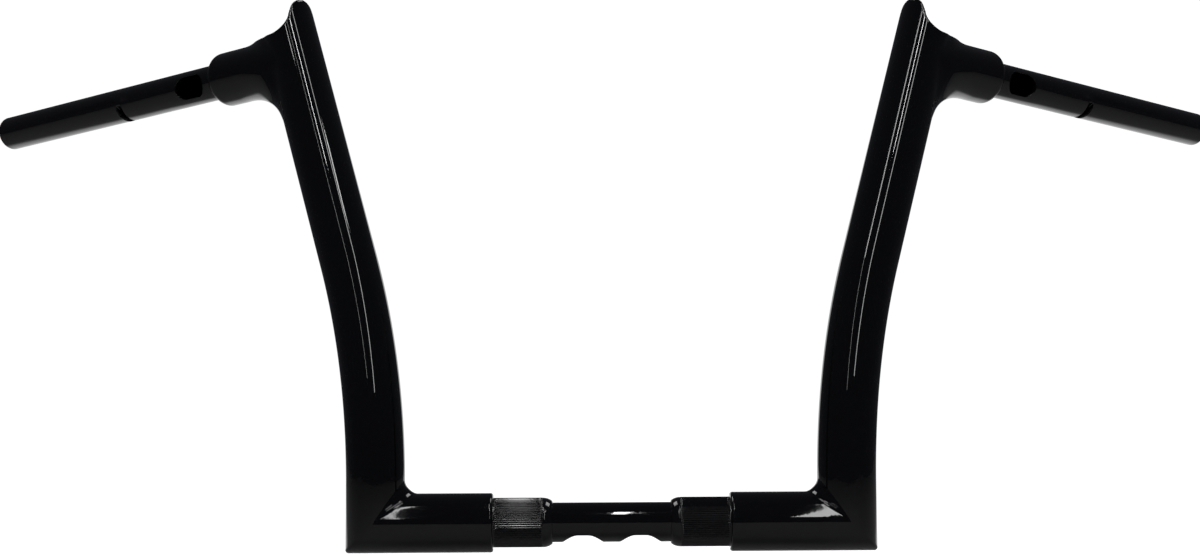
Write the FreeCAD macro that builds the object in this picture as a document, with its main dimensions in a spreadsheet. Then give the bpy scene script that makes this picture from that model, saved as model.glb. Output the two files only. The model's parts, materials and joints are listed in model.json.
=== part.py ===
"""Tall motorcycle handlebar with pointed tops, welded from telescoping round steel tube.

Frame: X runs along the clamp bar with the rider's right at +X, Y points back to the rider, Z is up.
The origin is on the axis of the clamp bar, midway between its two clamping places.
The right half is modelled and the left half is its mirror image.
"""

import FreeCAD, Part
import math
import os

import Sketcher
from FreeCAD import Vector

DIMENSIONS = [
    # Tube stock: each size plugs into the next one with the slip clearance all round.
    ("main_od", 38.1, "outside diameter of base tubes, risers and grip stubs"),
    ("main_wall", 3.45, "wall of the base tubes and risers"),
    ("clamp_od", 31.75, "outside diameter of the knurled clamp sleeves"),
    ("center_od", 25.4, "outside diameter of the center tube"),
    ("center_wall", 3.05, "wall of the center tube"),
    ("grip_od", 25.4, "outside diameter of the grip tubes"),
    ("grip_wall", 3.05, "wall of the grip tubes"),
    ("slip", 0.125, "clearance all round between a tube and the one it slides into"),
    ("spigot_step", 0.4, "how far the buried end of a grip tube is turned down, all round"),
    # Clamp bar along the bottom.
    ("riser_spread", 304.8, "distance between the riser axes at the bottom corners"),
    ("base_gap", 152.4, "distance between the inner ends of the base tubes"),
    ("clamp_gap", 76.2, "distance between the inner ends of the clamp sleeves"),
    ("sleeve_seat", 25.4, "length of clamp sleeve hidden in the base tube"),
    ("center_seat", 50.8, "length of center tube hidden in each clamp sleeve"),
    ("shoulder_length", 5.4, "length of the rounded shoulder at a clamp sleeve's inner end"),
    ("shoulder_land", 0.6, "flat rim left on the end of the shoulder"),
    ("base_bevel", 0.8, "bevel round the inner end of a base tube"),
    ("slot_length", 25.4, "length of a wire slot under the center tube"),
    ("slot_width", 19.05, "width of a wire slot"),
    ("slot_pitch", 37.0, "distance between the middles of the two wire slots"),
    # Riser: upright at the mitred corner, then one long bend outwards and back.
    ("bend_start", 25.4, "height of the upright stretch above the clamp bar axis"),
    ("bend_radius", 380.0, "bend radius on the riser axis"),
    ("bend_angle", 22.5, "angle that the riser turns through"),
    ("bend_turn", 44.0, "direction of the bend, from straight out towards the rear"),
    ("riser_upper", 155.0, "straight riser from the bend to the grip axis"),
    ("mitre_fillet", 9.0, "inside radius of the dressed weld in the bottom corner"),
    ("weld_step", 0.2, "depth of a dressed weld's skin below the tube's skin"),
    # Pointed top.
    ("tip_height", 40.5, "height of the point above the grip axis, along the riser"),
    ("tip_edge", 2.5, "thickness of the point at its thinnest"),
    ("tip_round", 13.0, "rounding of the point, seen along the grip"),
    ("ramp_radius", 20.0, "radius of the hollow that runs from the point to the stub"),
    ("ramp_height", 38.0, "height of the hollow's middle above the grip axis, along the riser"),
    ("cap_wall", 3.0, "thickness of the plate that closes the hollow"),
    # Grip stub and grip tube.
    ("grip_turn", -11.0, "turn of the grip about the riser axis, from the bend direction"),
    ("grip_rise", 18.1, "angle of the grip above square to the riser"),
    ("stub_reach", 71.0, "riser axis to the end of the grip stub, along the grip"),
    ("stub_round", 6.0, "rounding of the stub's end"),
    ("stub_fillet", 30.0, "inside radius of the dressed weld under the stub"),
    ("butt_gap", 2.0, "space between the riser and the buried end of the grip tube"),
    ("grip_reach", 304.8, "riser axis to the end of the grip tube, along the grip"),
    ("grip_bevel", 1.2, "bevel round the grip tube's open end"),
    ("hole_at", 94.0, "riser axis to the middle of the wire hole"),
    ("hole_length", 27.0, "length of the wire hole along the grip"),
    ("hole_width", 16.0, "width of the wire hole across the grip"),
    ("hole_turn", 16.0, "turn of the wire hole from the front towards the underside"),
    ("notch_at", 168.0, "riser axis to the middle of the crosswise notch"),
    ("notch_width", 5.5, "width of the notch along the grip"),
    ("notch_depth", 4.5, "depth of the notch at its middle"),
    ("notch_turn", 69.0, "turn of the notch from the front towards the underside"),
]

MAIN_R = "dims.main_od / 2"
MAIN_BORE_R = f"({MAIN_R} - dims.main_wall)"
CLAMP_SPIGOT_R = f"({MAIN_BORE_R} - dims.slip)"
CLAMP_BORE_R = "(dims.center_od / 2 + dims.slip)"
GRIP_SPIGOT_R = "(dims.grip_od / 2 - dims.spigot_step)"
STUB_BORE_R = f"({GRIP_SPIGOT_R} + dims.slip)"
GRIP_BORE_R = "(dims.grip_od / 2 - dims.grip_wall)"
SIZE = {alias: value for alias, value, meaning in DIMENSIONS}

doc = FreeCAD.newDocument("handlebar")


def make_sheet():
    """One row for each driving dimension: its name, its value with that alias, what it is."""
    sheet = doc.addObject("Spreadsheet::Sheet", "dims")
    for row, (alias, value, meaning) in enumerate(DIMENSIONS, start=1):
        sheet.set(f"A{row}", alias)
        sheet.set(f"B{row}", str(value))
        sheet.setAlias(f"B{row}", alias)
        sheet.set(f"C{row}", meaning)
    doc.recompute()


def place(x="0", y="0", z="0", axis="0; 0; 1", angle="0", after=None):
    """Expression for a placement, in the frame of the object named by after."""
    own = f"placement(vector({x}; {y}; {z}); rotation(vector({axis}); {angle}))"
    return f"{after}.Placement * {own}" if after else own


def add(kind, name, placement=None, **sizes):
    """A document object whose sizes and placement are bound to expressions."""
    thing = doc.addObject(kind, name)
    for prop, expression in sizes.items():
        thing.setExpression(prop, expression)
    if placement:
        thing.setExpression("Placement", placement)
    return thing


def fuse(name, *shapes):
    thing = doc.addObject("Part::MultiFuse", name)
    thing.Shapes = list(shapes)
    return thing


def cut(name, base, *tools):
    """The base with each tool taken out of it in turn."""
    for number, tool in enumerate(tools, start=1):
        last = number == len(tools)
        step = doc.addObject("Part::Cut", name if last else f"{name}_cut{number}")
        step.Base, step.Tool = base, tool
        base = step
    return base


def common(name, *shapes):
    thing = doc.addObject("Part::MultiCommon", name)
    thing.Shapes = list(shapes)
    return thing


def sketch_on(body, name, role):
    """An empty sketch on one of a body's own origin planes."""
    sketch = body.newObject("Sketcher::SketchObject", name)
    plane = next(item for item in body.Origin.OriginFeatures if item.Role == role)
    sketch.AttachmentSupport = [(plane, "")]
    sketch.MapMode = "FlatFace"
    return sketch


def bind(sketch, kind, *references, to):
    """A dimension of a sketch, bound to an expression."""
    row = sketch.addConstraint(Sketcher.Constraint(kind, *references, 1.0))
    sketch.setExpression(f"Constraints[{row}]", to)


def round_bar(name, length, outer, bore=None, placement=None):
    """A body with one padded ring, or a full round where there is no bore, along its own Z."""
    body = doc.addObject("PartDesign::Body", name)
    sketch = sketch_on(body, f"{name}_section", "XY_Plane")
    for row, radius in enumerate([outer, bore] if bore else [outer]):
        sketch.addGeometry(Part.Circle(Vector(), Vector(0, 0, 1), SIZE["main_od"] / (2 + row)))
        sketch.addConstraint(Sketcher.Constraint("Coincident", row, 3, -1, 1))
        bind(sketch, "Radius", row, to=radius)
    pad = body.newObject("PartDesign::Pad", f"{name}_pad")
    pad.Profile = sketch
    pad.setExpression("Length", length)
    if placement:
        body.setExpression("Placement", placement)
    doc.recompute()
    return body


def dress_end(body, kind, z, outer, **sizes):
    """A fillet or chamfer on the outer rim of a round bar at height z of its own axis."""
    pad = body.Tip
    rims = [f"Edge{number}" for number, edge in enumerate(pad.Shape.Edges, start=1)
            if len(edge.Vertexes) == 1 and abs(edge.CenterOfMass.z - z) < 1e-6
            and abs(edge.Curve.Radius - outer) < 1e-6]
    dressing = body.newObject(f"PartDesign::{kind}", f"{body.Name}_{kind.lower()}")
    dressing.Base = (pad, rims)
    for prop, expression in sizes.items():
        dressing.setExpression(prop, expression)


def oblong(name, length, width, depth, placement):
    """A round-ended cutter: length along its X, width along its Y, depth along its Z."""
    frame = add("App::Placement", f"{name}_frame", placement)
    offset = f"(({length}) - ({width})) / 2"
    ends = [add("Part::Cylinder", f"{name}_end{sign}", place(x=f"{factor} * {offset}", after=frame.Name),
                Radius=f"{width} / 2", Height=depth)
            for sign, factor in (("a", -1), ("b", 1))]
    middle = add("Part::Box", f"{name}_middle",
                 place(x=f"-{offset}", y=f"-{width} / 2", after=frame.Name),
                 Length=f"2 * {offset}", Width=width, Height=depth)
    return fuse(name, middle, *ends)


def make_frames():
    """The bottom corner, the crossing of riser and grip axes, and the grip axis itself."""
    add("App::Placement", "corner", place(x="dims.riser_spread / 2"))
    add("App::Placement", "bend", place(axis="0; 0; 1", angle="dims.bend_turn", after="corner"))
    add("App::Placement", "bend_end",
        place(x="dims.bend_radius * (1 - cos(dims.bend_angle))",
              z="dims.bend_start + dims.bend_radius * sin(dims.bend_angle)",
              axis="0; 1; 0", angle="dims.bend_angle", after="bend"))
    # Crossing: Z up along the riser, X square to it on the side where the grip leaves.
    add("App::Placement", "crossing", place(z="dims.riser_upper", angle="dims.grip_turn", after="bend_end"))
    # Grip: Z out along the grip, X towards its underside, Y to the rear.
    add("App::Placement", "grip", place(axis="0; 1; 0", angle="90 - dims.grip_rise", after="crossing"))
    add("App::Placement", "mitre", place(axis="0; 1; 0", angle="45", after="corner"))


def center_tube():
    """The bar's middle: a tube with two oblong slots in its underside, where the wires come out."""
    half = "(dims.clamp_gap / 2 + dims.center_seat)"
    tube = round_bar("center_stock", f"2 * {half}", "dims.center_od / 2",
                     "dims.center_od / 2 - dims.center_wall",
                     place(x=f"-{half}", axis="0; 1; 0", angle="90"))
    slots = [oblong(f"wire_slot_{side}", "dims.slot_length", "dims.slot_width", "dims.center_od",
                    place(x=f"{sign} * dims.slot_pitch / 2", z="-dims.center_od"))
             for side, sign in (("left", -1), ("right", 1))]
    return cut("center_tube", tube, *slots)


def clamp_sleeve():
    """The place that the bike's clamp grips: slips over the center tube and plugs into the base tube."""
    body = doc.addObject("PartDesign::Body", "sleeve_stock")
    sketch = sketch_on(body, "sleeve_profile", "XY_Plane")
    near = SIZE["clamp_gap"] / 2
    stop = SIZE["base_gap"] / 2
    far = stop + SIZE["sleeve_seat"]
    bore = SIZE["center_od"] / 2 + SIZE["slip"]
    outer = SIZE["clamp_od"] / 2
    spigot_radius = SIZE["main_od"] / 2 - SIZE["main_wall"] - SIZE["slip"]
    rim = bore + SIZE["shoulder_land"]
    crown = near + SIZE["shoulder_length"]
    drop = outer - rim
    radius = (SIZE["shoulder_length"] ** 2 + drop ** 2) / (2 * drop)
    lowest = math.pi - math.asin((radius - drop) / radius)
    circle = Part.Circle(Vector(crown, outer - radius), Vector(0, 0, 1), radius)
    face, shoulder, skin, step, spigot, back, inside = range(7)
    sketch.addGeometry([
        Part.LineSegment(Vector(near, bore), Vector(near, rim)),
        Part.ArcOfCircle(circle, math.pi / 2, lowest),
        Part.LineSegment(Vector(crown, outer), Vector(stop, outer)),
        Part.LineSegment(Vector(stop, outer), Vector(stop, spigot_radius)),
        Part.LineSegment(Vector(stop, spigot_radius), Vector(far, spigot_radius)),
        Part.LineSegment(Vector(far, spigot_radius), Vector(far, bore)),
        Part.LineSegment(Vector(far, bore), Vector(near, bore)),
    ])
    for kind, *references in (
            ("Coincident", face, 2, shoulder, 2), ("Tangent", shoulder, 1, skin, 1),
            ("Coincident", skin, 2, step, 1), ("Coincident", step, 2, spigot, 1),
            ("Coincident", spigot, 2, back, 1), ("Coincident", back, 2, inside, 1),
            ("Coincident", inside, 2, face, 1), ("Vertical", face), ("Horizontal", skin),
            ("Vertical", step), ("Horizontal", spigot), ("Vertical", back), ("Horizontal", inside)):
        sketch.addConstraint(Sketcher.Constraint(kind, *references))
    bind(sketch, "DistanceX", -1, 1, face, 1, to="dims.clamp_gap / 2")
    bind(sketch, "DistanceY", -1, 1, face, 1, to=CLAMP_BORE_R)
    bind(sketch, "DistanceY", face, 1, face, 2, to="dims.shoulder_land")
    bind(sketch, "DistanceY", -1, 1, skin, 1, to="dims.clamp_od / 2")
    bind(sketch, "DistanceX", face, 1, skin, 1, to="dims.shoulder_length")
    bind(sketch, "DistanceX", -1, 1, step, 1, to="dims.base_gap / 2")
    bind(sketch, "DistanceY", -1, 1, spigot, 1, to=CLAMP_SPIGOT_R)
    bind(sketch, "DistanceX", spigot, 1, spigot, 2, to="dims.sleeve_seat")
    turned = body.newObject("PartDesign::Revolution", "sleeve_turned")
    turned.Profile = sketch
    turned.ReferenceAxis = (sketch, ["H_Axis"])
    return body


def corner_weld():
    """The dressed weld in the bottom corner: a quarter elbow whose inside is the corner's fillet."""
    reach = f"({MAIN_R} + dims.mitre_fillet)"
    return add("Part::Torus", "corner_weld",
               place(x=f"-{reach}", z=reach, axis="1; 0; 0", angle="-90", after="corner"),
               Radius1=reach, Radius2=f"{MAIN_R} - dims.weld_step", Angle3="90")


def mitre_side(name, z):
    """A block on one side of the mitre plane, large enough to trim a tube's end."""
    size = "4 * dims.main_od"
    return add("Part::Box", name, place(x=f"-{size} / 2", y=f"-{size} / 2", z=z, after="mitre"),
               Length=size, Width=size, Height=size)


def base_tube(weld):
    """The thick bottom tube: slides over the clamp sleeve and is mitred to the riser."""
    start = "dims.base_gap / 2"
    length = f"(dims.riser_spread / 2 + dims.main_od - {start})"
    along = place(x=start, axis="0; 1; 0", angle="90")
    stock = round_bar("base_stock", length, MAIN_R, placement=along)
    dress_end(stock, "Chamfer", 0, SIZE["main_od"] / 2, Size="dims.base_bevel")
    bore = add("Part::Cylinder", "base_bore", along, Radius=MAIN_BORE_R, Height=length)
    return cut("base_tube_right", fuse("base_welded", stock, weld), mitre_side("riser_side", "0"), bore)


def riser_path():
    """The riser's axis in the plane of its bend: a straight, an arc and a straight, all tangent."""
    path = add("Sketcher::SketchObject", "riser_path", place(axis="1; 0; 0", angle="90", after="bend"))
    turn = math.radians(SIZE["bend_angle"])
    radius, start = SIZE["bend_radius"], SIZE["bend_start"]
    upper = SIZE["riser_upper"] + SIZE["ramp_height"]
    arc_end = Vector(radius * (1 - math.cos(turn)), start + radius * math.sin(turn))
    circle = Part.Circle(Vector(radius, start), Vector(0, 0, 1), radius)
    foot, arc, top = range(3)
    path.addGeometry([
        Part.LineSegment(Vector(0, -SIZE["main_od"]), Vector(0, start)),
        Part.ArcOfCircle(circle, math.pi - turn, math.pi),
        Part.LineSegment(arc_end, arc_end + Vector(math.sin(turn), math.cos(turn)) * upper),
    ])
    for kind, *references in (("PointOnObject", foot, 1, -2), ("Vertical", foot),
                              ("Tangent", foot, 2, arc, 2), ("Tangent", arc, 1, top, 1)):
        path.addConstraint(Sketcher.Constraint(kind, *references))
    bind(path, "DistanceY", foot, 1, -1, 1, to="dims.main_od")
    bind(path, "DistanceY", -1, 1, foot, 2, to="dims.bend_start")
    bind(path, "Radius", arc, to="dims.bend_radius")
    bind(path, "Angle", arc, to="dims.bend_angle")
    bind(path, "Distance", top, to="dims.riser_upper + dims.ramp_height")
    doc.recompute()
    return path


def swept_round(name, path, radius):
    """A full round carried along the riser's axis."""
    section = add("Part::Circle", f"{name}_section", place(z="-dims.main_od", after="corner"), Radius=radius)
    sweep = doc.addObject("Part::Sweep", name)
    sweep.Sections = [section]
    sweep.Spine = (path, [f"Edge{number}" for number in range(1, len(path.Shape.Edges) + 1)])
    sweep.Solid = True
    return sweep


def ramp(name, radius):
    """A cutter across the riser's top: round below the height of its middle, upright above it."""
    across = "2 * dims.main_od"
    middle = f"dims.ramp_radius + dims.tip_edge - {MAIN_R}"
    hollow = add("Part::Cylinder", f"{name}_hollow",
                 place(x=middle, y=f"-{across} / 2", z="dims.ramp_height", axis="1; 0; 0", angle="-90",
                       after="crossing"),
                 Radius=radius, Height=across)
    above = add("Part::Box", f"{name}_above",
                place(x=f"{middle} - ({radius})", y=f"-{across} / 2", z="dims.ramp_height", after="crossing"),
                Length=f"2 * ({radius})", Width=across, Height="dims.tip_height")
    return fuse(name, hollow, above)


def riser(weld, ramp_seat):
    """The bent upright: mitred at its foot, hollowed at its top, with a wire passage to the grip."""
    path = riser_path()
    stock = swept_round("riser_stock", path, MAIN_R)
    bore = swept_round("riser_bore", path, MAIN_BORE_R)
    passage = add("Part::Cylinder", "wire_passage", place(after="grip"),
                  Radius=GRIP_BORE_R, Height="dims.main_od")
    return cut("riser_right", fuse("riser_welded", stock, weld),
               mitre_side("base_side", "-4 * dims.main_od"), bore, ramp_seat, passage)


def tip_cap(ramp_seat, ramp_skin):
    """The curved plate that closes the riser's hollowed end and rises to the point."""
    depth = "2 * (dims.ramp_radius + dims.cap_wall)"
    shoulder = "dims.tip_height - dims.tip_round"
    rod = add("Part::Cylinder", "cap_rod", place(z=f"dims.tip_height - {depth}", after="crossing"),
              Radius=MAIN_R, Height=depth)
    below = add("Part::Box", "cap_below",
                place(x="-dims.main_od", y="-dims.main_od", z=f"{shoulder} - {depth}", after="crossing"),
                Length="2 * dims.main_od", Width="2 * dims.main_od", Height=depth)
    crown = add("Part::Cylinder", "cap_crown",
                place(x="-dims.main_od", z=shoulder, axis="0; 1; 0", angle="90", after="crossing"),
                Radius="dims.tip_round", Height="2 * dims.main_od")
    outline = fuse("cap_outline", below, crown)
    return cut("tip_cap_right", common("cap_blank", rod, outline, ramp_seat), ramp_skin)


def grip_stub(ramp_skin):
    """The bored collar that carries the grip: coped to the riser, swept into it underneath."""
    stock = round_bar("stub_stock", "dims.stub_reach", MAIN_R, placement=place(after="grip"))
    dress_end(stock, "Fillet", SIZE["stub_reach"], SIZE["main_od"] / 2, Radius="dims.stub_round")
    reach = f"({MAIN_R} + dims.stub_fillet)"
    weld = add("Part::Torus", "stub_weld",
               place(x=reach, z=f"-{reach} / tan(45 + dims.grip_rise / 2)", axis="0; 1; 1", angle="180",
                     after="crossing"),
               Radius1=reach, Radius2=f"{MAIN_R} - dims.weld_step", Angle3="90 - dims.grip_rise")
    cope = add("Part::Cylinder", "stub_cope", place(z="-3 * dims.main_od", after="crossing"),
               Radius=MAIN_R, Height="6 * dims.main_od")
    bore = add("Part::Cylinder", "stub_bore", place(after="grip"),
               Radius=STUB_BORE_R, Height="dims.stub_reach")
    return cut("grip_stub_right", fuse("stub_welded", stock, weld), cope, ramp_skin, bore)


def grip_tube():
    """The thin tube that the grip and controls go on, with a wire hole and a crosswise notch.

    Its buried end is turned down, so that a shoulder butts on the stub.
    """
    start = f"(({MAIN_R} + dims.grip_od / 2 * sin(dims.grip_rise)) / cos(dims.grip_rise) + dims.butt_gap)"
    length = f"(dims.grip_reach - {start})"
    tube = round_bar("grip_stock", length, "dims.grip_od / 2", GRIP_BORE_R, place(z=start, after="grip"))
    dress_end(tube, "Chamfer", tube.Tip.Length.Value, SIZE["grip_od"] / 2, Size="dims.grip_bevel")
    turning = round_bar("grip_turning", "dims.stub_reach", "dims.grip_od", GRIP_SPIGOT_R, place(after="grip"))
    add("App::Placement", "hole_side", place(z="dims.hole_at", angle="dims.hole_turn", after="grip"))
    hole = oblong("wire_hole", "dims.hole_length", "dims.hole_width", "dims.grip_od",
                  place(axis="1; -1; 1", angle="120", after="hole_side"))
    add("App::Placement", "notch_side", place(z="dims.notch_at", angle="dims.notch_turn", after="grip"))
    notch = add("Part::Box", "notch",
                place(x="-dims.grip_od", y="dims.notch_depth - 3 * dims.grip_od / 2",
                      z="-dims.notch_width / 2", after="notch_side"),
                Length="2 * dims.grip_od", Width="dims.grip_od", Height="dims.notch_width")
    return cut("grip_tube_right", tube, turning, hole, notch)


def mirrored(piece, name):
    twin = doc.addObject("Part::Mirroring", name)
    twin.Source = piece
    twin.Base = Vector()
    twin.Normal = Vector(1, 0, 0)
    return twin


def check_and_write(nodes):
    """Stop on any failed object or bad solid, then write one STEP file for each node."""
    doc.recompute()
    failed = [thing.Name for thing in doc.Objects if {"Invalid", "Error"} & set(thing.State)]
    for name, piece in nodes.items():
        piece.Label = name
        shape = piece.Shape
        if shape.isNull() or not shape.isValid() or len(shape.Solids) != 1:
            failed.append(name)
    if failed:
        raise RuntimeError("failed objects: " + ", ".join(failed))
    os.makedirs("parts", exist_ok=True)
    for name, piece in nodes.items():
        piece.Shape.Solids[0].exportStep(f"parts/{name}.step")


make_sheet()
make_frames()
weld = corner_weld()
ramp_skin = ramp("ramp_skin", "dims.ramp_radius")
ramp_seat = ramp("ramp_seat", "dims.ramp_radius + dims.cap_wall")
right_half = {
    "clamp_sleeve": clamp_sleeve(),
    "base_tube": base_tube(weld),
    "riser": riser(weld, ramp_seat),
    "tip_cap": tip_cap(ramp_seat, ramp_skin),
    "grip_stub": grip_stub(ramp_skin),
    "grip_tube": grip_tube(),
}
nodes = {"center_tube": center_tube()}
for name, piece in right_half.items():
    nodes[f"{name}_right"] = piece
    nodes[f"{name}_left"] = mirrored(piece, f"{name}_left")
check_and_write(nodes)
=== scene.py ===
"""Looks of a tall welded motorcycle handlebar in gloss black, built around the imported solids.

Metres throughout. X runs along the clamp bar, Y points back to the rider, Z is up.
The right half is worked out, and the left half is its mirror image.
"""

import json

import bmesh
import bpy
import numpy as np
from mathutils import Matrix


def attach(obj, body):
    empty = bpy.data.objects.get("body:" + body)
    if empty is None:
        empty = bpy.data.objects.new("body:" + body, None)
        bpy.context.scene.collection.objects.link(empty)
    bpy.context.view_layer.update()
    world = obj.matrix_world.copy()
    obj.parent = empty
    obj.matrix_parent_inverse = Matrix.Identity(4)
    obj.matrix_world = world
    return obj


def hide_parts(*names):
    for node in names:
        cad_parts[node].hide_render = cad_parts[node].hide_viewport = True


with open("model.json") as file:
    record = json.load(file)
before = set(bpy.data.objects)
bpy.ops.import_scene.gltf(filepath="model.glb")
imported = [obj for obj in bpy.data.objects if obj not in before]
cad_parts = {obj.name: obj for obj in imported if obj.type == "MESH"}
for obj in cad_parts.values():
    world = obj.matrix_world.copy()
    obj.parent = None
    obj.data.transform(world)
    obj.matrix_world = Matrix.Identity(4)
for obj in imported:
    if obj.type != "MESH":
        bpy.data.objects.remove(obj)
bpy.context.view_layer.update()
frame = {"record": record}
MM = 0.001
mounts = {mount["name"]: mount for mount in frame["record"]["mounts"]}

# Center tube
# A drawn steel tube of one inch that carries the two clamp sleeves, coated gloss black.
# Two oblong slots in its underside let the wires out between the clamps.
center_outer = 12.7 * MM
center_bore = 9.65 * MM
center_half_length = 88.9 * MM
slot_half_pitch = 18.5 * MM
slot_length = 25.4 * MM
slot_width = 19.05 * MM
slot_lip = 0.7 * MM
opening_push = np.radians(85)
coat_dark, coat_light = (0.0016, 0.0018, 0.0024), (0.0030, 0.0033, 0.0042)
coat_smoothest, coat_dullest = 0.015, 0.04
coat_peel_scale, coat_peel_height = 240, 0.008 * MM
noise_low, noise_high = 0.35, 0.65
grain_share = 0.2
merge_distance, sliver_length = 1e-6, 1e-7


def coat_effect():
    """Node group of the cured powder coat: how its tone, gloss and waviness change over the surface.

    Waviness is orange peel, a soft noise a few millimetres long with a finer one on it.
    """
    group = bpy.data.node_groups.new("coat_effect", "ShaderNodeTree")
    group.interface.new_socket("Peel Scale", in_out="INPUT", socket_type="NodeSocketFloat")
    group.interface.new_socket("Tone", in_out="OUTPUT", socket_type="NodeSocketFloat")
    group.interface.new_socket("Gloss", in_out="OUTPUT", socket_type="NodeSocketFloat")
    group.interface.new_socket("Waviness", in_out="OUTPUT", socket_type="NodeSocketFloat")
    nodes, links = group.nodes, group.links
    entry, leave = nodes.new("NodeGroupInput"), nodes.new("NodeGroupOutput")
    place = nodes.new("ShaderNodeTexCoord")

    def noise(scale, detail):
        texture = nodes.new("ShaderNodeTexNoise")
        texture.inputs["Scale"].default_value = scale
        texture.inputs["Detail"].default_value = detail
        links.new(place.outputs["Object"], texture.inputs["Vector"])
        return texture

    drift = noise(scale=9, detail=3)
    haze = noise(scale=70, detail=4)
    grain = noise(scale=750, detail=2)
    peel = noise(scale=coat_peel_scale, detail=1)
    links.new(entry.outputs["Peel Scale"], peel.inputs["Scale"])
    sum_up = nodes.new("ShaderNodeMath")
    sum_up.operation = "MULTIPLY_ADD"
    sum_up.inputs[1].default_value = grain_share
    links.new(grain.outputs["Fac"], sum_up.inputs[0])
    links.new(peel.outputs["Fac"], sum_up.inputs[2])
    links.new(drift.outputs["Fac"], leave.inputs["Tone"])
    links.new(haze.outputs["Fac"], leave.inputs["Gloss"])
    links.new(sum_up.outputs["Value"], leave.inputs["Waviness"])
    return group


coat_group = coat_effect()


def gloss_black(name, dark, light, smoothest, dullest, peel_scale, peel_height):
    """Gloss-black powder coat: near-black colour, hard clear gloss and orange peel of a given height."""
    material = bpy.data.materials.new(name)
    material.use_nodes = True
    nodes, links = material.node_tree.nodes, material.node_tree.links
    shader = nodes["Principled BSDF"]
    shader.inputs["IOR"].default_value = 1.5
    shader.inputs["Metallic"].default_value = 0.0
    effect = nodes.new("ShaderNodeGroup")
    effect.node_tree = coat_group
    effect.inputs["Peel Scale"].default_value = peel_scale
    tone = nodes.new("ShaderNodeMix")
    tone.data_type = "RGBA"
    tone.inputs["A"].default_value = (*dark, 1)
    tone.inputs["B"].default_value = (*light, 1)
    links.new(effect.outputs["Tone"], tone.inputs["Factor"])
    links.new(tone.outputs["Result"], shader.inputs["Base Color"])
    gloss = nodes.new("ShaderNodeMapRange")
    gloss.inputs["From Min"].default_value = noise_low
    gloss.inputs["From Max"].default_value = noise_high
    gloss.inputs["To Min"].default_value = smoothest
    gloss.inputs["To Max"].default_value = dullest
    links.new(effect.outputs["Gloss"], gloss.inputs["Value"])
    links.new(gloss.outputs["Result"], shader.inputs["Roughness"])
    bump = nodes.new("ShaderNodeBump")
    bump.inputs["Distance"].default_value = peel_height
    links.new(effect.outputs["Waviness"], bump.inputs["Height"])
    links.new(bump.outputs["Normal"], shader.inputs["Normal"])
    return material


tube_coat = gloss_black("gloss_black_coat", coat_dark, coat_light, coat_smoothest, coat_dullest,
                        coat_peel_scale, coat_peel_height)


def quads(rows, columns, closed_rows=False):
    """Corner numbers of the quads of a grid whose columns close into a ring, and whose rows may too."""
    row = np.arange(rows if closed_rows else rows - 1)[:, None]
    column = np.arange(columns)[None, :]
    next_row, next_column = (row + 1) % rows, (column + 1) % columns
    corners = [row * columns + column, row * columns + next_column,
               next_row * columns + next_column, next_row * columns + column]
    return np.stack(np.broadcast_arrays(*corners), axis=-1).reshape(-1, 4)


def add_piece(name, points, faces, material, *nodes, sharp_degrees=38):
    """A mesh object on the bar from points and faces, welded, facing outwards, standing for CAD nodes."""
    mesh = bpy.data.meshes.new(name)
    mesh.from_pydata(points.tolist(), [], faces.tolist())
    shell = bmesh.new()
    shell.from_mesh(mesh)
    bmesh.ops.remove_doubles(shell, verts=shell.verts, dist=merge_distance)
    bmesh.ops.dissolve_degenerate(shell, edges=shell.edges, dist=sliver_length)
    bmesh.ops.delete(shell, geom=[v for v in shell.verts if not v.link_faces], context="VERTS")
    bmesh.ops.holes_fill(shell, edges=[e for e in shell.edges if e.is_boundary], sides=0)
    bmesh.ops.recalc_face_normals(shell, faces=shell.faces)
    shell.to_mesh(mesh)
    shell.free()
    mesh.shade_smooth()
    mesh.set_sharp_from_angle(angle=np.radians(sharp_degrees))
    mesh.materials.append(material)
    piece = bpy.data.objects.new(name, mesh)
    bpy.context.scene.collection.objects.link(piece)
    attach(piece, "root")
    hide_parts(*nodes)
    return piece


def both_sides(name, points, faces, material, *nodes):
    """The right-hand piece and its mirror image in X."""
    pieces = []
    for side, sign in (("right", 1), ("left", -1)):
        names = [f"{node}_{side}" for node in nodes]
        pieces.append(add_piece(f"{name}_{side}", points * (sign, 1, 1), faces, material, *names))
    return pieces


def stadium(along, length, width):
    """Half the width of a round-ended slot at places along it, 0 outside: w = sqrt(r2 - (|t| - a)2)."""
    reach = np.maximum(np.abs(along) - (length - width) / 2, 0)
    return np.sqrt(np.maximum((width / 2) ** 2 - reach ** 2, 0))


def pillow(along, length, width):
    """Half the width of a slot with tight round corners: w = W (1 - |2t/L|^8)^(1/8)."""
    return width / 2 * np.maximum(1 - np.abs(2 * along / length) ** 8, 0) ** 0.125


def slot_places(middle, length, width, lip):
    """Stations along a tube that crowd towards the round ends of a slot."""
    turn = np.sin(np.linspace(0, np.pi / 2, 14))
    half = np.concatenate([np.linspace(0, (length - width) / 2, 6)[:-1],
                           (length - width) / 2 + turn * width / 2,
                           length / 2 + lip * np.linspace(0, 1, 5)[1:]])
    return middle + np.concatenate([-half[::-1], half[1:]])


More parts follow.
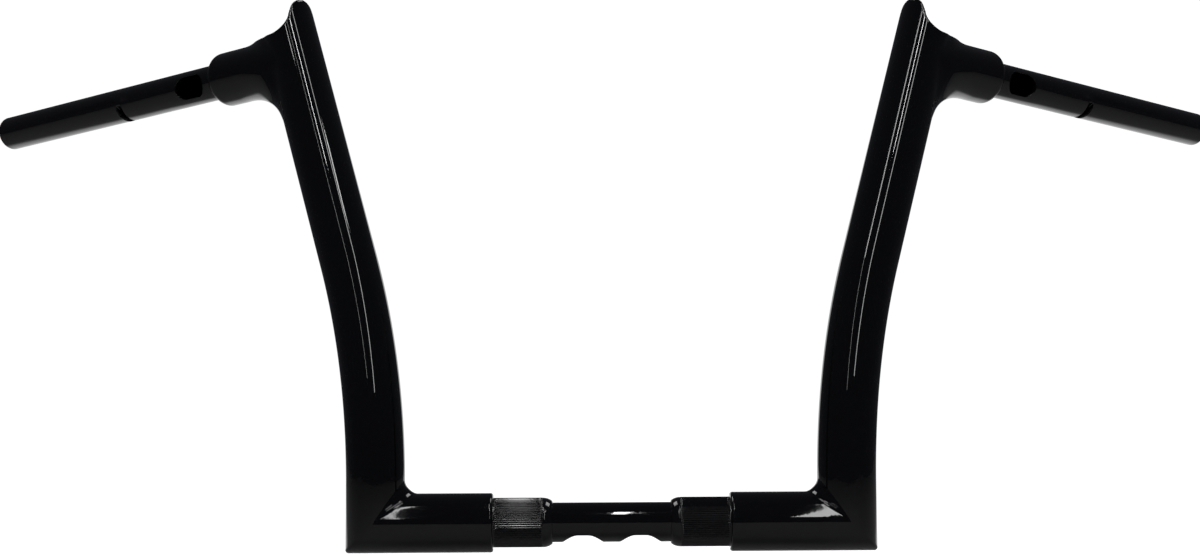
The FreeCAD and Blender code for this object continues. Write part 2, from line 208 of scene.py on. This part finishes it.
def pierced_tube(places, outer, bore, heading, lips, inside, around=144):
    """Points and faces of a tube along its own Z, with openings that face the angle given by heading.

    Each section is a ring cut open by the opening's half-width w there: it runs round the outside from
    one lip to the other, down the wall of the opening, and back round the bore. Where w is 0 the ring is
    closed. lips holds (half-widths, depth below the skin) from the skin inwards, and inside holds the
    half-width at the bore. The points beside an opening are pushed apart by it, and those farther round
    than opening_push stay where they are.
    """
    even = np.linspace(0, 2 * np.pi, around)
    away = np.minimum(even, 2 * np.pi - even)
    push = np.maximum(1 - away / opening_push, 0) * np.sign(np.pi - even)
    sides = []
    for half_width, depth in lips:
        level = np.sqrt(outer(places) ** 2 - half_width ** 2) - depth
        sides.append((half_width, level))
    inner_level = np.sqrt(bore ** 2 - inside ** 2)
    sides.append((inside, inner_level))
    first = np.arctan2(*sides[0])
    last = np.arctan2(*sides[-1])
    outside_angle = even + first[:, None] * push
    inside_angle = (even + last[:, None] * push)[:, ::-1]
    radius = outer(places)[:, None]
    across = [radius * np.sin(outside_angle)]
    level = [radius * np.cos(outside_angle)]
    for half_width, height in sides[1:-1]:
        across.append(-half_width[:, None])
        level.append(height[:, None])
    across.append(bore * np.sin(inside_angle))
    level.append(bore * np.cos(inside_angle))
    for half_width, height in sides[-2:0:-1]:
        across.append(half_width[:, None])
        level.append(height[:, None])
    across, level = np.hstack(across), np.hstack(level)
    turn = heading(places)[:, None]
    points = np.stack([level * np.cos(turn) - across * np.sin(turn),
                       level * np.sin(turn) + across * np.cos(turn),
                       np.broadcast_to(places[:, None], across.shape)], axis=-1)
    columns = across.shape[1]
    faces = quads(len(places), columns)
    wall = np.ones(columns, bool)
    wall[:around - 1] = False
    wall[around - 1 + len(sides) - 1:][:around - 1] = False
    open_here = np.abs(across) > 1e-9
    gap = open_here.reshape(-1)[faces].any(axis=1)
    keep = ~wall[faces[:, 0] % columns] | gap
    ends = [np.arange(columns), np.arange(columns) + (len(places) - 1) * columns]
    rims = [np.stack([end[:around - 1], end[1:around],
                      end[around + len(sides) - 2:][:around][::-1][1:],
                      end[around + len(sides) - 2:][:around][::-1][:-1]], axis=-1) for end in ends]
    return points.reshape(-1, 3), np.concatenate([faces[keep], *rims])


def lip_layers(shape, along, length, width, lip, steps=5):
    """A quarter-round lip: the slot is wider by the lip at the skin, and has its own size below it."""
    turn = np.linspace(0, np.pi / 2, steps)
    return [(shape(along, length + 2 * lip * (1 - np.sin(a)), width + 2 * lip * (1 - np.sin(a))),
             lip * (1 - np.cos(a))) for a in turn]


slot_middles = np.array([-slot_half_pitch, slot_half_pitch])
places = np.unique(np.concatenate(
    [[-center_half_length, 0, center_half_length]]
    + [slot_places(middle, slot_length, slot_width, slot_lip) for middle in slot_middles]))
nearest = places - np.where(places < 0, -slot_half_pitch, slot_half_pitch)
points, faces = pierced_tube(places, lambda z: np.full_like(z, center_outer), center_bore,
                             lambda z: np.zeros_like(z),
                             lip_layers(stadium, nearest, slot_length, slot_width, slot_lip),
                             stadium(nearest, slot_length, slot_width))
# The tube's own Z lies along the bar, and its opening faces down.
points = np.stack([points[:, 2], points[:, 1], -points[:, 0]], axis=-1)
add_piece("center_tube_coated", points, faces, tube_coat, "center_tube")

# Clamp sleeves
# Turned steel sleeves of 1 1/4 inch, slipped over the center tube and plugged into the base tubes.
# A straight knurl is pressed into each one where the clamp of the bike bites, under a thinner coat.
sleeve_radius = mounts["clamp_right"]["dims"]["r_mm"] * MM
sleeve_bore = 12.825 * MM
sleeve_start = 38.1 * MM
sleeve_crown = 43.5 * MM
sleeve_end = 76.2 * MM
shoulder_rim = 13.425 * MM
knurl_start, knurl_end = 44.8 * MM, 75.2 * MM
knurl_fade = 0.9 * MM
knurl_teeth = 72
knurl_depth = 0.42 * MM
knurl_samples = 12
knurl_dark, knurl_light = (0.0022, 0.0024, 0.0030), (0.0042, 0.0046, 0.0056)
knurl_smoothest, knurl_dullest = 0.05, 0.09
knurl_peel_scale, knurl_peel_height = 520, 0.005 * MM
knurl_support = 0.2 * MM
knurl_coat = gloss_black("knurled_coat", knurl_dark, knurl_light, knurl_smoothest, knurl_dullest,
                         knurl_peel_scale, knurl_peel_height)


def knurled_sleeve():
    """A turned profile (x, r) carried round the bar, with rounded grooves between its teeth.

    In the knurl the radius is R - depth * fade(x) * (1 - cos(teeth * angle)) / 2. The shoulder is
    fuller than a cone and flatter than a circle: (dx / reach)^1.5 + (dr / drop)^1.5 = 1.
    """
    turn = np.linspace(0, np.pi / 2, 16)
    shoulder_x = sleeve_crown - (sleeve_crown - sleeve_start) * np.cos(turn) ** (4 / 3)
    shoulder_r = shoulder_rim + (sleeve_radius - shoulder_rim) * np.sin(turn) ** (4 / 3)
    knurl_x = np.concatenate([[sleeve_crown + knurl_support],
                              knurl_start + knurl_fade * np.linspace(-1, 1, 7),
                              np.linspace(knurl_start + 2 * knurl_fade, knurl_end - 2 * knurl_fade, 14),
                              knurl_end + knurl_fade * np.linspace(-1, 1, 7)])
    x = np.concatenate([[sleeve_start], shoulder_x, knurl_x, [sleeve_end, sleeve_end]])
    r = np.concatenate([[sleeve_bore], shoulder_r, np.full(len(knurl_x), sleeve_radius),
                        [sleeve_radius, sleeve_bore]])
    angle = np.arange(knurl_teeth * knurl_samples) * 2 * np.pi / (knurl_teeth * knurl_samples)
    groove = (1 - np.cos(knurl_teeth * angle)) / 2
    inwards = np.clip((np.minimum(x - knurl_start, knurl_end - x) / knurl_fade + 1) / 2, 0, 1)
    fade = inwards ** 2 * (3 - 2 * inwards) * (r > sleeve_bore + 1 * MM)
    radius = r[:, None] - knurl_depth * fade[:, None] * groove
    points = np.stack([np.broadcast_to(x[:, None], radius.shape), radius * np.cos(angle),
                       radius * np.sin(angle)], axis=-1)
    return points.reshape(-1, 3), quads(len(x), len(angle), closed_rows=True)


both_sides("clamp_sleeve_coated", *knurled_sleeve(), knurl_coat, "clamp_sleeve")

# Base tubes
# Thick drawn tubes of 1 1/2 inch that slide over the clamp sleeves and run out to the bottom corners.
# Their outer ends are mitred and welded to the risers, and the weld is dressed smooth.
main_radius = 19.05 * MM
main_bore = 15.6 * MM
corner_x = 152.4 * MM
base_bevel = 1.8 * MM
inside_round = 9.5 * MM
outside_round = 2.2 * MM
base_supports = np.array([0.3, 0.8, 20]) * MM
mitre_near, mitre_next, mitre_far = 4 * MM, 4.6 * MM, 14 * MM
around_main = 192
ring_angle = np.arange(around_main) * 2 * np.pi / around_main


def dressed_mitre(distance):
    """How far a dressed mitre stands off the tube, at distances along it from the mitre plane.

    The two skins meet at the angle psi with cos psi = sin2(angle). A weld of radius rho lifts the crease
    by A = rho (1 - cos(psi / 2)), and fades as A (1 - distance / L)2, where L makes both skins meet
    tangent. The inside of the corner is filled, and the outside is rounded off.
    """
    lean = np.cos(ring_angle)
    psi = np.arccos(np.clip(np.sin(ring_angle) ** 2, -1, 1))
    rho = np.where(lean > 0, inside_round, outside_round)
    lift = rho * (1 - np.cos(psi / 2))
    fade_length = 2 * lift * (1 + np.sin(ring_angle) ** 2) / np.maximum(np.abs(lean), 1e-6) + 1e-9
    return np.sign(lean) * lift * np.maximum(1 - distance / fade_length, 0) ** 2


# Stations on the tubes by their distance from the mitre plane, crowded towards it.
mitre_places = np.concatenate([np.linspace(0, 1, 12) ** 2 * mitre_near,
                               np.linspace(mitre_next, mitre_far, 16)])


def base_tube():
    """The tube's skin by x and angle, from its bevelled end to the mitre x = corner - r cos(angle)."""
    skin = [(sleeve_end + base_bevel * (1 - np.sin(a)), main_radius - base_bevel * (1 - np.cos(a)))
            for a in np.linspace(np.pi / 2, 0, 7)]
    skin += [(sleeve_end + base_bevel + step, main_radius) for step in base_supports]
    edge = corner_x - (main_radius + dressed_mitre(0 * ring_angle)) * np.cos(ring_angle)
    x = [np.full(around_main, place) for place, radius in skin]
    r = [np.full(around_main, radius) for place, radius in skin]
    for distance in mitre_places[::-1]:
        x.append(edge - distance)
        r.append(main_radius + dressed_mitre(np.full(around_main, distance)))
    x += [corner_x - main_bore * np.cos(ring_angle), np.full(around_main, sleeve_end)]
    r += [np.full(around_main, main_bore)] * 2
    x, r = np.stack(x), np.stack(r)
    points = np.stack([x, r * np.sin(ring_angle), r * np.cos(ring_angle)], axis=-1)
    return points.reshape(-1, 3), quads(len(x), around_main, closed_rows=True)


both_sides("base_tube_coated", *base_tube(), tube_coat, "base_tube")

# Risers
# Thick drawn tubes that stand on the mitred corners and lean out and back in one long bend.
# Their tops are welded into the pointed tops below, with no step in the coat.
bend_start = 25.4 * MM
bend_radius = 380 * MM
bend_angle = np.radians(22.5)
bend_turn = np.radians(44)
riser_upper = 155 * MM
joint_below = 58 * MM


def riser_axis(place):
    """Points and unit directions of the riser's axis, by the length along it from the corner.

    It runs straight up, then turns through an arc about a level axis, then straight on.
    """
    turned = np.clip((place - bend_start) / bend_radius, 0, bend_angle)
    beyond = np.maximum(place - bend_start - bend_radius * bend_angle, 0)
    outwards = bend_radius * (1 - np.cos(turned)) + beyond * np.sin(bend_angle)
    height = np.minimum(place, bend_start) + bend_radius * np.sin(turned) + beyond * np.cos(bend_angle)
    axis = np.stack([corner_x + outwards * np.cos(bend_turn), outwards * np.sin(bend_turn), height],
                    axis=-1)
    direction = np.stack([np.sin(turned) * np.cos(bend_turn), np.sin(turned) * np.sin(bend_turn),
                          np.cos(turned)], axis=-1)
    return axis, direction


riser_length = bend_start + bend_radius * bend_angle + riser_upper
crossing, riser_up = (value[0] for value in riser_axis(np.array([riser_length])))


def riser():
    """The ring r(angle) carried up the axis, from the mitre plane z = r cos to the joint with the top.

    The ring's own X and Y lean with the axis: out = direction of the bend, square to the axis.
    """
    edge = (main_radius + dressed_mitre(0 * ring_angle)) * np.cos(ring_angle)
    top = riser_length - joint_below
    lower = [edge + distance for distance in mitre_places]
    stretch = np.linspace(0, 1, 111)[1:, None]
    upper = lower[-1] + stretch * (top - lower[-1])
    place = np.concatenate([np.stack(lower), upper])
    lift = np.concatenate([np.stack([dressed_mitre(np.full(around_main, d)) for d in mitre_places]),
                           np.zeros_like(upper)])
    bore_foot = main_bore * np.cos(ring_angle)
    bore_place = bore_foot + np.linspace(1, 0, 60)[:, None] * (top - bore_foot)
    place = np.concatenate([place, bore_place])
    radius = np.concatenate([main_radius + lift, np.full_like(bore_place, main_bore)])
    axis, direction = riser_axis(place)
    bend_out = np.array([np.cos(bend_turn), np.sin(bend_turn), 0])
    level = np.array([-np.sin(bend_turn), np.cos(bend_turn), 0])
    out = bend_out * direction[..., 2:] - np.array([0, 0, 1]) * (direction @ bend_out)[..., None]
    # The ring starts on the inner side, at -X, and turns towards +Y, as the base tube's ring does.
    spin_out = -np.cos(ring_angle) * np.cos(bend_turn) + np.sin(ring_angle) * np.sin(bend_turn)
    spin_level = np.cos(ring_angle) * np.sin(bend_turn) + np.sin(ring_angle) * np.cos(bend_turn)
    points = axis + radius[..., None] * (out * spin_out[:, None] + level * spin_level[:, None])
    return points.reshape(-1, 3), quads(len(place), around_main, closed_rows=True)


both_sides("riser_coated", *riser(), tube_coat, "riser")

# Pointed tops
# Each riser's steel end is hollowed by a round cut, closed with a curved plate that rises to a point,
# and joined by a coped collar. The welds are filled and dressed, so the coat has no seam.
grip_direction = np.array(mounts["grip_right"]["axis"])
grip_radius = mounts["grip_right"]["dims"]["r_mm"] * MM
collar_reach = 71 * MM
collar_round = 5.6 * MM
under_weld = 46 * MM
over_weld = 12 * MM
weld_turn = 10 * MM
weld_starts, weld_full = -4 * MM, 16 * MM
ramp_radius = 11.5 * MM
ramp_lift = -1.1 * MM
ramp_leave = 200 * MM
wall_at = -3.1 * MM
tip_height = 41.3 * MM
tip_round = 15 * MM
tip_soft = 2.2 * MM
crown_steepness = 0.8
rim_round = 2.2 * MM
skin_step = 0.85 * MM
skin_low = np.array([-22 * MM, -22 * MM, -joint_below])
skin_high = np.array([72 * MM, 22 * MM, 46 * MM])
skin_sweeps, skin_pulls = 8, 3
top_x = grip_direction - riser_up * (grip_direction @ riser_up)
top_x = top_x / np.linalg.norm(top_x)
top_y = np.cross(riser_up, top_x)
grip_sin = grip_direction @ riser_up
grip_cos = grip_direction @ top_x


def soft_least(a, b, width):
    """The lesser of two distances, rounded where they differ by less than width."""
    return np.minimum(a, b) - np.maximum(width - np.abs(a - b), 0) ** 2 / (4 * width)


def soft_most(a, b, width):
    """The greater of two distances, rounded where they differ by less than width."""
    return -soft_least(-a, -b, width)


def ease(value, start, end):
    """A smooth step from 0 at start to 1 at end: 3 s2 - 2 s3."""
    share = np.clip((value - start) / (end - start), 0, 1)
    return share ** 2 * (3 - 2 * share)


def ramp_field(along, above):
    """Height above the hollow ramp: a wall square to the collar, an arc, and then the collar's top.

    Past the arc the ramp runs on along the collar, and then leaves it as the square of the distance.
    """
    clear = main_radius + ramp_lift
    beyond = along - wall_at - ramp_radius
    higher = above - clear - ramp_radius
    hollow = ramp_radius - np.sqrt(beyond ** 2 + higher ** 2)
    level = above - clear - np.maximum(beyond, 0) ** 2 / ramp_leave
    return np.where((beyond < 0) & (higher < 0), hollow, np.minimum(along - wall_at, level))


def top_field(p):
    """Distance from the skin of a pointed top, negative inside, at points in the top's own frame.

    Riser and collar are round bars, and a weld fills the corner between them, fading where their skins
    are tangent. The ramp and the point's rounded outline are then cut, with soft rims.
    """
    u, v, w = p[..., 0], p[..., 1], p[..., 2]
    riser_span = np.sqrt(u ** 2 + v ** 2)
    along = u * grip_cos + w * grip_sin
    above = w * grip_cos - u * grip_sin
    collar_span = np.sqrt(v ** 2 + above ** 2)
    inner = np.maximum(collar_span - (main_radius - collar_round), 0)
    past = np.maximum(along - (collar_reach - collar_round), 0)
    collar = np.where(past > 0, np.sqrt(inner ** 2 + past ** 2) - collar_round, collar_span - main_radius)
    collar = np.maximum(collar, -along)
    facing = (v * v - u * grip_sin * above) / np.maximum(riser_span * collar_span, 1e-9)
    weld_round = over_weld + (under_weld - over_weld) * ease(-above, -weld_turn, weld_turn)
    weld = 4 * weld_round * (1 - np.sqrt(np.clip((1 + facing) / 2, 0, 1)))
    weld = weld * ease(u, weld_starts, weld_full)
    joined = soft_least(riser_span - main_radius, collar, np.maximum(weld, 1e-6))
    crown = (w - tip_height + v ** 2 / (2 * tip_round)) * crown_steepness
    return soft_most(soft_most(joined, ramp_field(along, above), rim_round), crown, tip_soft)


def slope(p, reach=2e-6):
    """Gradient of the field, by differences over a small reach each way."""
    steps = reach * np.eye(3)
    return np.stack([top_field(p + step) - top_field(p - step) for step in steps], axis=-1) / (2 * reach)


def pointed_top():
    """The skin where the field is zero: one point in each cell that the skin crosses, moved onto it.

    Points of neighbouring cells are joined by a quad across each grid edge that the skin cuts.
    """
    counts = np.ceil((skin_high - skin_low) / skin_step).astype(int) + 1
    axes = [skin_low[i] + skin_step * np.arange(counts[i]) for i in range(3)]
    corners = np.stack(np.meshgrid(*axes, indexing="ij"), axis=-1)
    solid = top_field(corners) < 0
    block = [solid[i:counts[0] - 1 + i, j:counts[1] - 1 + j, k:counts[2] - 1 + k]
             for i in (0, 1) for j in (0, 1) for k in (0, 1)]
    crossed = np.any(block, axis=0) & ~np.all(block, axis=0)
    number = np.full(crossed.shape, -1)
    number[crossed] = np.arange(crossed.sum())
    points = skin_low + skin_step * (np.argwhere(crossed) + 0.5)
    faces = []
    for axis in range(3):
        near = np.moveaxis(solid, axis, 0)
        cells = np.moveaxis(number, axis, 0)
        here = near[:-1, 1:-1, 1:-1] != near[1:, 1:-1, 1:-1]
        ring = np.stack([cells[:, :-1, :-1], cells[:, 1:, :-1], cells[:, 1:, 1:], cells[:, :-1, 1:]],
                        axis=-1)
        faces.append(ring[here])
    faces = np.concatenate(faces)
    faces = faces[(faces >= 0).all(axis=1)]
    lowest = points[:, 2] < skin_low[2] + 0.75 * skin_step
    edges = np.concatenate([faces[:, [i, (i + 1) % 4]] for i in range(4)])
    for sweep in range(skin_sweeps):
        total = np.zeros_like(points)
        count = np.zeros(len(points))
        np.add.at(total, edges[:, 0], points[edges[:, 1]])
        np.add.at(total, edges[:, 1], points[edges[:, 0]])
        np.add.at(count, edges.reshape(-1), 1)
        points = 0.5 * points + 0.5 * total / np.maximum(count, 1)[:, None]
        points[lowest, 2] = skin_low[2]
        for pull in range(skin_pulls):
            direction = slope(points)
            direction[lowest, 2] = 0
            length = np.maximum((direction ** 2).sum(axis=1), 0.2)
            points = points - direction * (top_field(points) / length)[:, None]
    return points, faces


local_points, top_faces = pointed_top()
top_frame = np.stack([top_x, top_y, riser_up])
tops = both_sides("pointed_top_coated", crossing + local_points @ top_frame, top_faces, tube_coat,
                  "tip_cap", "grip_stub")
# The normals come from the field itself, so the gloss runs over the quads without ripples.
for top, sign in zip(tops, (1, -1)):
    flat = np.empty(len(top.data.vertices) * 3, np.float32)
    top.data.vertices.foreach_get("co", flat)
    local = (flat.reshape(-1, 3).astype(float) * (sign, 1, 1) - crossing) @ top_frame.T
    normals = (slope(local) @ top_frame) * (sign, 1, 1)
    normals /= np.linalg.norm(normals, axis=1)[:, None]
    top.data.normals_split_custom_set_from_vertices(normals.tolist())

# Grip tubes
# Thin tubes of one inch, plugged into the collars, that the hand grips and controls slide over.
# A wire hole opens on the front beside the collar, and a narrow notch is cut across the underside.
grip_bore = mounts["grip_bore_right"]["dims"]["r_mm"] * MM
grip_start, grip_end = 62 * MM, 304.8 * MM
grip_end_round = 2.1 * MM
hole_at, hole_length, hole_width = 94 * MM, 27 * MM, 16 * MM
hole_heading = np.radians(-90 + 16)
hole_lip = 0.6 * MM
notch_at, notch_width = 168 * MM, 5.5 * MM
notch_heading = np.radians(-90 + 69)
notch_outer_width, notch_inner_width = 19.4 * MM, 10.2 * MM
notch_lip = 0.4 * MM
turn_start, turn_middle, turn_end = 115 * MM, 130 * MM, 155 * MM
grip_supports = np.array([0.3, 1, 30]) * MM


def grip_outer(place):
    """The tube's radius along it: constant, then an edge rounded as R - (e - sqrt(e2 - d2)) at its end."""
    past = np.clip(place - (grip_end - grip_end_round), 0, grip_end_round)
    return grip_radius - (grip_end_round - np.sqrt(grip_end_round ** 2 - past ** 2))


def grip_heading(place):
    """Which way a section's opening faces: the hole's heading, turning to the notch's between the two."""
    share = np.clip((place - turn_start) / (turn_end - turn_start), 0, 1)
    return hole_heading + (notch_heading - hole_heading) * share ** 2 * (3 - 2 * share)


def grip_tube():
    """A pierced tube along the grip's axis, whose own X is the grip's underside and Y the rear."""
    end_places = grip_end - grip_end_round * (1 - np.sin(np.linspace(0, np.pi / 2, 7)))
    notch_shares = np.concatenate([np.linspace(0, 0.8, 5), 1 - 0.2 * np.linspace(1, 0, 6)[1:] ** 2])
    notch_places = np.concatenate([notch_width / 2 * notch_shares,
                                   notch_width / 2 + notch_lip * np.linspace(0, 1, 5)[1:]])
    places = np.unique(np.concatenate([
        [grip_start], slot_places(hole_at, hole_length, hole_width, hole_lip),
        np.linspace(turn_start, turn_end, 9),
        notch_at - notch_places, notch_at + notch_places, end_places,
        grip_end - grip_end_round - grip_supports]))
    hole = places < turn_middle
    lips = []
    inside = np.where(hole, stadium(places - hole_at, hole_length, hole_width),
                      pillow(places - notch_at, notch_width, notch_inner_width))
    for (wide, depth), (notch_wide, notch_depth) in zip(
            lip_layers(stadium, places - hole_at, hole_length, hole_width, hole_lip),
            lip_layers(pillow, places - notch_at, notch_width, notch_outer_width, notch_lip)):
        lips.append((np.where(hole, wide, notch_wide), np.where(hole, depth, notch_depth)))
    points, faces = pierced_tube(places, grip_outer, grip_bore, grip_heading, lips, inside)
    under = np.cross(top_y, grip_direction)
    return crossing + points @ np.stack([under, top_y, grip_direction]), faces


both_sides("grip_tube_coated", *grip_tube(), tube_coat, "grip_tube")

# Studio
# A pale floor under the bar that turns white behind it, a white backdrop, and lamps in front and above.
# The white is a glow that the camera and mirrored rays see, and it fades out beside the picture.
floor_height, backdrop_top = -0.075, 2.0
floor_left, floor_right, floor_front, floor_back = -3.0, 3.0, -2.5, 6.0
pale_colour = (0.5, 0.5, 0.5)
white_starts, white_full, white_fade = 0.42, 0.62, 0.3
view_distance, view_spread, view_margin = 1.106, 0.353, 0.1


def white_zone():
    """Node group: where the stage is white, from 0 to 1: the part that the camera sees behind the bar.

    The camera sees the half-width margin + spread * (y + distance), and the white fades out beyond it.
    """
    group = bpy.data.node_groups.new("white_zone", "ShaderNodeTree")
    group.interface.new_socket("White", in_out="OUTPUT", socket_type="NodeSocketFloat")
    nodes, links = group.nodes, group.links
    place, split, leave = (nodes.new(kind) for kind in
                           ("ShaderNodeTexCoord", "ShaderNodeSeparateXYZ", "NodeGroupOutput"))
    links.new(place.outputs["Object"], split.inputs["Vector"])

    def fade(value, start, end):
        step = nodes.new("ShaderNodeMapRange")
        step.interpolation_type = "SMOOTHSTEP"
        step.inputs["From Min"].default_value = start
        step.inputs["From Max"].default_value = end
        links.new(value, step.inputs["Value"])
        return step.outputs["Result"]

    half_seen, aside, inside, both = (nodes.new("ShaderNodeMath") for node in range(4))
    half_seen.operation, aside.operation = "MULTIPLY_ADD", "ABSOLUTE"
    inside.operation, both.operation = "SUBTRACT", "MULTIPLY"
    half_seen.inputs[1].default_value = view_spread
    half_seen.inputs[2].default_value = view_margin + view_spread * view_distance
    links.new(split.outputs["Y"], half_seen.inputs[0])
    links.new(split.outputs["X"], aside.inputs[0])
    links.new(half_seen.outputs["Value"], inside.inputs[0])
    links.new(aside.outputs["Value"], inside.inputs[1])
    links.new(fade(inside.outputs["Value"], -white_fade, 0), both.inputs[0])
    links.new(fade(split.outputs["Y"], white_starts, white_full), both.inputs[1])
    links.new(both.outputs["Value"], leave.inputs["White"])
    return group


white_group = white_zone()


def pale_stage(name, corners):
    """A flat panel of the stage. Rays from the camera, off gloss and through glass also see its white."""
    mesh = bpy.data.meshes.new(name)
    mesh.from_pydata(corners, [], [(0, 1, 2, 3)])
    material = bpy.data.materials.new(name)
    material.use_nodes = True
    nodes, links = material.node_tree.nodes, material.node_tree.links
    nodes.remove(nodes["Principled BSDF"])
    diffuse, emission = nodes.new("ShaderNodeBsdfDiffuse"), nodes.new("ShaderNodeEmission")
    diffuse.inputs["Color"].default_value = (*pale_colour, 1)
    both, path = nodes.new("ShaderNodeAddShader"), nodes.new("ShaderNodeLightPath")
    white = nodes.new("ShaderNodeGroup")
    white.node_tree = white_group
    seen, most = nodes.new("ShaderNodeMath"), nodes.new("ShaderNodeMath")
    seen.operation, most.operation = "ADD", "ADD"
    most.use_clamp = True
    links.new(path.outputs["Is Camera Ray"], seen.inputs[0])
    links.new(path.outputs["Is Glossy Ray"], seen.inputs[1])
    links.new(seen.outputs["Value"], most.inputs[0])
    links.new(path.outputs["Is Transmission Ray"], most.inputs[1])
    links.new(white.outputs["White"], emission.inputs["Color"])
    links.new(most.outputs["Value"], emission.inputs["Strength"])
    links.new(diffuse.outputs["BSDF"], both.inputs[0])
    links.new(emission.outputs["Emission"], both.inputs[1])
    links.new(both.outputs["Shader"], nodes["Material Output"].inputs["Surface"])
    mesh.materials.append(material)
    panel = bpy.data.objects.new(name, mesh)
    bpy.context.scene.collection.objects.link(panel)


pale_stage("floor", [(floor_left, floor_front, floor_height), (floor_right, floor_front, floor_height),
                     (floor_right, floor_back, floor_height), (floor_left, floor_back, floor_height)])
pale_stage("backdrop", [(floor_left, floor_back, floor_height), (floor_right, floor_back, floor_height),
                        (floor_right, floor_back, backdrop_top), (floor_left, floor_back, backdrop_top)])


def lamp(name, start, end, aim, width, radiance):
    """A flat lamp from start to end that faces aim, evenly bright: power = pi * area * radiance."""
    start, end = np.array(start), np.array(end)
    middle, length = (start + end) / 2, np.linalg.norm(end - start)
    up = (end - start) / length
    forward = aim - middle
    forward = forward - up * (forward @ up)
    forward /= np.linalg.norm(forward)
    data = bpy.data.lights.new(name, "AREA")
    data.shape = "RECTANGLE"
    data.size, data.size_y = width, length
    data.energy = np.pi * width * length * radiance
    light = bpy.data.objects.new(name, data)
    light.matrix_world = Matrix(np.column_stack([np.cross(forward, up), up, -forward]).tolist()).to_4x4()
    light.location = middle
    light.visible_camera = False
    bpy.context.scene.collection.objects.link(light)


# The strips draw the long lines down the risers and light the knurl, the stands make the glints on the
# base tubes, and the overhead lamps light the floor.
lamp("strip_middle", (0.06, -1.10, 2.05), (0.06, -1.80, 2.05), (0.06, -1.4, 0), 0.03, 50)
lamp("strip_left", (-2.37, -4.94, 7.80), (-2.37, -6.54, 6.50), (0, 0, 0.3), 0.20, 16)
lamp("strip_right", (0.86, -1.10, 2.05), (0.86, -1.45, 2.05), (0.86, -1.3, 0), 0.10, 14)
lamp("stand_right", (0.33, -1.50, 0.50), (0.45, -0.75, 2.00), (0.15, 0, 0), 0.05, 10)
lamp("stand_left", (-0.31, -1.50, 0.50), (-0.34, -0.75, 2.00), (-0.15, 0, 0), 0.014, 10)
lamp("strip_knurl", (-0.15, -0.45, 2.20), (-0.15, -1.30, 2.20), (-0.15, -0.9, 0), 0.055, 18)
lamp("overhead_left", (-1.1, 0.2, 2.5), (-1.1, 1.4, 2.5), (-1.1, 0.4, 0), 0.85, 4.4)
lamp("overhead_right", (1.1, 0.2, 2.5), (1.1, 1.4, 2.5), (1.1, 0.4, 0), 0.85, 4.4)

# A faint even light stands for the rest of the room.
room_light = (0.045, 0.047, 0.054)
world = bpy.data.worlds.new("studio")
world.use_nodes = True
world.node_tree.nodes["Background"].inputs["Color"].default_value = (*room_light, 1)
bpy.context.scene.world = world
bpy.context.scene.view_settings.view_transform = "Standard"

# Camera
# It stands low in front of the bar, as the photograph's does, and looks slightly up.
# Its place and its turns were found by fitting the outlines of the tubes.
focal_pixels, image_width, sensor_width = 1700, 1200, 36
camera_place = (-17.9 * MM, -1106.4 * MM, 69.7 * MM)
yaw, pitch, roll = np.radians([-0.580, 4.595, 0.295])
camera_data = bpy.data.cameras.new("camera")
camera_data.sensor_width = sensor_width
camera_data.lens = focal_pixels / image_width * sensor_width
camera = bpy.data.objects.new("camera", camera_data)
bpy.context.scene.collection.objects.link(camera)
looking = Matrix.Rotation(yaw, 3, "Z") @ Matrix.Rotation(pitch, 3, "X") @ Matrix.Rotation(roll, 3, "Y")
right, ahead, up = (np.array(looking.col[i]) for i in range(3))
camera.matrix_world = Matrix(np.column_stack([right, up, -ahead]).tolist()).to_4x4()
camera.location = camera_place
bpy.context.scene.camera = camera
